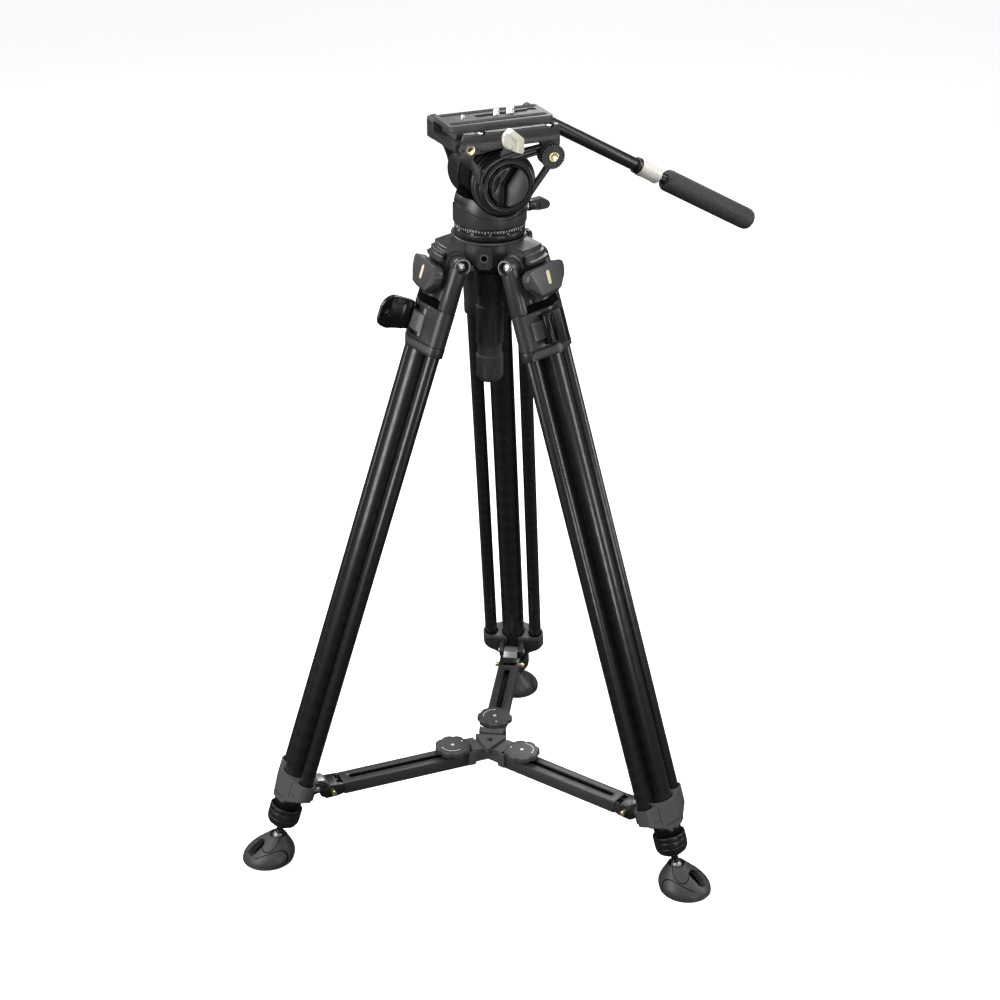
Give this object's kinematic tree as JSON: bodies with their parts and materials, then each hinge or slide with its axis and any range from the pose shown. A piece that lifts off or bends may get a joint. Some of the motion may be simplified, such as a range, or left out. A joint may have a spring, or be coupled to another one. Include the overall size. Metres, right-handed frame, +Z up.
{
  "type": "video tripod with fluid head",
  "caption": "Three-legged camera support: twin-tube legs with sliding stages, mid-level spreader, bowl-mounted pan and tilt head, quick-release plate and pan bar.",
  "frame": {"origin": "bottom centre of the bounding box, on the floor under the tripod's footprint", "axes": "+Z up; +X towards the operator and the pan bar, -X towards the lens side and the front leg; +Y the operator's right, where the pan bar is; -Y the drag knob side"},
  "size_m": [0.682, 0.5572, 0.895],
  "materials": {
    "cast": "satin black anodised casting, fine grain",
    "satin": "satin black, machined",
    "rubber": "dark grey moulded rubber",
    "plastic": "black moulded plastic, fine texture",
    "steel": "bright plated screws and pins",
    "champagne": "pale champagne anodised",
    "tube": "gloss black woven carbon fibre"
  },
  "bodies": {
    "crown": {"crown": "cast"},
    "head_base": {"head_base": "satin"},
    "bowl_handle": {"bowl_handle": "rubber"},
    "pan": {"pan_housing": "satin", "tilt_drum": "satin"},
    "pan_lock": {"pan_lock": "plastic"},
    "tilt": {"tilt_cradle": "cast", "accessory_rosette": "plastic"},
    "drag_knob": {"tilt_drag_knob": "satin"},
    "tilt_lock": {"tilt_lock": "plastic"},
    "plate": {"quick_plate": "cast"},
    "screw_quarter": {"camera_screw_quarter": "steel"},
    "screw_three_eighths": {"camera_screw_three_eighths": "steel"},
    "plate_pin": {"plate_pin": "steel"},
    "clamp_lever": {"plate_clamp_lever": "champagne"},
    "bar": {"pan_bar_clamp": "satin", "pan_bar_tube": "tube"},
    "bar_knob": {"pan_bar_knob": "plastic"},
    "bar_collar": {"pan_bar_collar": "champagne"},
    "bar_grip": {"pan_bar_grip": "rubber"},
    "leg_front": {"leg_front_shoulder": "cast", "leg_front_side_tube_a": "tube", "leg_front_side_tube_b": "tube", "leg_front_lower_collar": "cast", "leg_front_pivot_bolt": "steel"},
    "tab_front": {"leg_front_angle_tab": "cast"},
    "lever_front": {"leg_front_lever": "plastic"},
    "lower_leg_front": {"leg_front_middle_tube": "tube"},
    "foot_stage_front": {"leg_front_foot_stage": "satin"},
    "foot_front": {"leg_front_foot": "rubber"},
    "leg_left": {"leg_left_shoulder": "cast", "leg_left_side_tube_a": "tube", "leg_left_side_tube_b": "tube", "leg_left_lower_collar": "cast", "leg_left_pivot_bolt": "steel"},
    "tab_left": {"leg_left_angle_tab": "cast"},
    "lever_left": {"leg_left_lever": "plastic"},
    "lower_leg_left": {"leg_left_middle_tube": "tube"},
    "foot_stage_left": {"leg_left_foot_stage": "satin"},
    "foot_left": {"leg_left_foot": "rubber"},
    "leg_right": {"leg_right_shoulder": "cast", "leg_right_side_tube_a": "tube", "leg_right_side_tube_b": "tube", "leg_right_lower_collar": "cast", "leg_right_pivot_bolt": "steel"},
    "tab_right": {"leg_right_angle_tab": "cast"},
    "lever_right": {"leg_right_lever": "plastic"},
    "lower_leg_right": {"leg_right_middle_tube": "tube"},
    "foot_stage_right": {"leg_right_foot_stage": "satin"},
    "foot_right": {"leg_right_foot": "rubber"},
    "spreader_hub": {"spreader_hub": "satin", "spreader_arm_front": "satin", "spreader_arm_left": "satin", "spreader_arm_right": "satin"},
    "slider_front": {"spreader_slider_front": "satin"},
    "spreader_knob_front": {"spreader_knob_front": "plastic"},
    "slider_left": {"spreader_slider_left": "satin"},
    "spreader_knob_left": {"spreader_knob_left": "plastic"},
    "slider_right": {"spreader_slider_right": "satin"},
    "spreader_knob_right": {"spreader_knob_right": "plastic"}
  },
  "joints": [
    {"name": "bowl_level", "type": "hinge", "parent": "crown", "child": "head_base", "pos_m": [-0.02474, 0, 0.757], "axis": [1, 0, 0], "range_deg": [-4, 4]},
    {"name": "bowl_handle_turn", "type": "hinge", "parent": "head_base", "child": "bowl_handle", "pos_m": [-0.02474, 0, 0.65], "axis": [0, 0, 1], "continuous": true},
    {"name": "pan", "type": "hinge", "parent": "head_base", "child": "pan", "pos_m": [-0.02474, 0, 0.768], "axis": [0, 0, 1], "continuous": true},
    {"name": "pan_lock_turn", "type": "hinge", "parent": "pan", "child": "pan_lock", "pos_m": [0.02526, 0, 0.783], "axis": [1, 0, 0], "range_deg": [0, 90]},
    {"name": "tilt", "type": "hinge", "parent": "pan", "child": "tilt", "pos_m": [-0.02174, 0, 0.8235], "axis": [0, 1, 0], "range_deg": [-80, 55]},
    {"name": "drag_knob_turn", "type": "hinge", "parent": "pan", "child": "drag_knob", "pos_m": [-0.02174, -0.045, 0.8235], "axis": [0, -1, 0], "range_deg": [-90, 90]},
    {"name": "tilt_lock_turn", "type": "hinge", "parent": "pan", "child": "tilt_lock", "pos_m": [-0.02174, 0.057, 0.8235], "axis": [0, 1, 0], "range_deg": [-60, 0]},
    {"name": "plate_slide", "type": "slide", "parent": "tilt", "child": "plate", "axis": [1, 0, 0], "range_m": [-0.02, 0.02]},
    {"name": "screw_quarter_turn", "type": "hinge", "parent": "plate", "child": "screw_quarter", "pos_m": [-0.01574, 0.001, 0.88], "axis": [0, 0, 1], "continuous": true},
    {"name": "screw_three_eighths_turn", "type": "hinge", "parent": "plate", "child": "screw_three_eighths", "pos_m": [0.00126, 0.001, 0.88], "axis": [0, 0, 1], "continuous": true},
    {"name": "plate_pin_press", "type": "slide", "parent": "plate", "child": "plate_pin", "axis": [0, 0, -1], "range_m": [0, 0.0025], "stiffness_N_per_m": 400, "springref_m": -0.002},
    {"name": "plate_clamp_turn", "type": "hinge", "parent": "tilt", "child": "clamp_lever", "pos_m": [-0.01974, -0.05, 0.874], "axis": [0, 1, 0], "range_deg": [0, 75]},
    {"name": "bar_angle", "type": "hinge", "parent": "tilt", "child": "bar", "pos_m": [0.02776, 0.057, 0.8515], "axis": [0, -1, 0], "range_deg": [-30, 60]},
    {"name": "bar_knob_turn", "type": "hinge", "parent": "bar", "child": "bar_knob", "pos_m": [0.02776, 0.07, 0.8515], "axis": [0, 1, 0], "continuous": true},
    {"name": "bar_collar_turn", "type": "hinge", "parent": "bar", "child": "bar_collar", "pos_m": [0.19922, 0.0585, 0.78359], "axis": [0.8704, 0, -0.4924], "range_deg": [0, 180]},
    {"name": "bar_extend", "type": "slide", "parent": "bar", "child": "bar_grip", "axis": [0.8704, 0, -0.4924], "range_m": [0, 0.11]},
    {"name": "leg_front_spread", "type": "hinge", "parent": "crown", "child": "leg_front", "pos_m": [-0.07134, 0, 0.7338], "axis": [0, 1, 0], "range_deg": [0, 8]},
    {"name": "leg_front_tab_tip", "type": "hinge", "parent": "leg_front", "child": "tab_front", "pos_m": [-0.103, 0, 0.71776], "axis": [0, -1, 0], "range_deg": [0, 14], "stiffness_Nm_per_rad": 0.3, "springref_deg": -8.59},
    {"name": "leg_front_lever_turn", "type": "hinge", "parent": "leg_front", "child": "lever_front", "pos_m": [-0.11862, 0.015, 0.66711], "axis": [0.3074, 0, 0.9516], "range_deg": [0, 90]},
    {"name": "leg_front_extend", "type": "slide", "parent": "leg_front", "child": "lower_leg_front", "axis": [-0.3074, 0, -0.9516], "range_m": [0, 0.5]},
    {"name": "leg_front_foot_extend", "type": "slide", "parent": "lower_leg_front", "child": "foot_stage_front", "axis": [-0.3074, 0, -0.9516], "range_m": [0, 0.42]},
    {"name": "leg_front_foot_tilt", "type": "hinge", "parent": "foot_stage_front", "child": "foot_front", "pos_m": [-0.30351, 0, 0.02799], "axis": [0, 1, 0], "range_deg": [-15, 15]},
    {"name": "leg_left_spread", "type": "hinge", "parent": "crown", "child": "leg_left", "pos_m": [-0.00144, -0.04036, 0.7338], "axis": [-0.866, -0.5, 0], "range_deg": [0, 8]},
    {"name": "leg_left_tab_tip", "type": "hinge", "parent": "leg_left", "child": "tab_left", "pos_m": [0.0144, -0.06778, 0.71776], "axis": [0.866, 0.5, 0], "range_deg": [0, 14], "stiffness_Nm_per_rad": 0.3, "springref_deg": -8.59},
    {"name": "leg_left_lever_turn", "type": "hinge", "parent": "leg_left", "child": "lever_left", "pos_m": [0.00922, -0.08881, 0.66711], "axis": [-0.1537, 0.2662, 0.9516], "range_deg": [-90, 0]},
    {"name": "leg_left_extend", "type": "slide", "parent": "leg_left", "child": "lower_leg_left", "axis": [0.1537, -0.2662, -0.9516], "range_m": [0, 0.5]},
    {"name": "leg_left_foot_extend", "type": "slide", "parent": "lower_leg_left", "child": "foot_stage_left", "axis": [0.1537, -0.2662, -0.9516], "range_m": [0, 0.42]},
    {"name": "leg_left_foot_tilt", "type": "hinge", "parent": "foot_stage_left", "child": "foot_left", "pos_m": [0.11465, -0.24142, 0.02799], "axis": [-0.866, -0.5, 0], "range_deg": [-15, 15]},
    {"name": "leg_right_spread", "type": "hinge", "parent": "crown", "child": "leg_right", "pos_m": [-0.00144, 0.04036, 0.7338], "axis": [0.866, -0.5, 0], "range_deg": [0, 8]},
    {"name": "leg_right_tab_tip", "type": "hinge", "parent": "leg_right", "child": "tab_right", "pos_m": [0.0144, 0.06778, 0.71776], "axis": [-0.866, 0.5, 0], "range_deg": [0, 14], "stiffness_Nm_per_rad": 0.3, "springref_deg": -8.59},
    {"name": "leg_right_lever_turn", "type": "hinge", "parent": "leg_right", "child": "lever_right", "pos_m": [0.0352, 0.07381, 0.66711], "axis": [-0.1537, -0.2662, 0.9516], "range_deg": [-90, 0]},
    {"name": "leg_right_extend", "type": "slide", "parent": "leg_right", "child": "lower_leg_right", "axis": [0.1537, 0.2662, -0.9516], "range_m": [0, 0.5]},
    {"name": "leg_right_foot_extend", "type": "slide", "parent": "lower_leg_right", "child": "foot_stage_right", "axis": [0.1537, 0.2662, -0.9516], "range_m": [0, 0.42]},
    {"name": "leg_right_foot_tilt", "type": "hinge", "parent": "foot_stage_right", "child": "foot_right", "pos_m": [0.11465, 0.24142, 0.02799], "axis": [0.866, -0.5, 0], "range_deg": [-15, 15]},
    {"name": "spreader_rise", "type": "slide", "parent": "crown", "child": "spreader_hub", "axis": [0, 0, 1], "range_m": [0, 0.032]},
    {"name": "spreader_front_extend", "type": "slide", "parent": "spreader_hub", "child": "slider_front", "axis": [-1, 0, 0], "range_m": [0, 0.09]},
    {"name": "spreader_front_knob_turn", "type": "hinge", "parent": "slider_front", "child": "spreader_knob_front", "pos_m": [-0.07434, 0, 0.098], "axis": [0, 0, 1], "continuous": true},
    {"name": "spreader_left_extend", "type": "slide", "parent": "spreader_hub", "child": "slider_left", "axis": [0.5, -0.866, 0], "range_m": [0, 0.09]},
    {"name": "spreader_left_knob_turn", "type": "hinge", "parent": "slider_left", "child": "spreader_knob_left", "pos_m": [0.00006, -0.04296, 0.098], "axis": [0, 0, 1], "continuous": true},
    {"name": "spreader_right_extend", "type": "slide", "parent": "spreader_hub", "child": "slider_right", "axis": [0.5, 0.866, 0], "range_m": [0, 0.09]},
    {"name": "spreader_right_knob_turn", "type": "hinge", "parent": "slider_right", "child": "spreader_knob_right", "pos_m": [0.00006, 0.04296, 0.098], "axis": [0, 0, 1], "continuous": true}
  ],
  "couplings": [
    {"joint": "leg_left_spread", "follows": "leg_front_spread", "ratio": 1},
    {"joint": "leg_right_spread", "follows": "leg_front_spread", "ratio": 1},
    {"joint": "spreader_rise", "follows": "leg_front_spread", "m_per_rad": 0.222},
    {"joint": "spreader_front_extend", "follows": "leg_front_spread", "m_per_rad": 0.627},
    {"joint": "spreader_left_extend", "follows": "leg_front_spread", "m_per_rad": 0.627},
    {"joint": "spreader_right_extend", "follows": "leg_front_spread", "m_per_rad": 0.627}
  ]
}
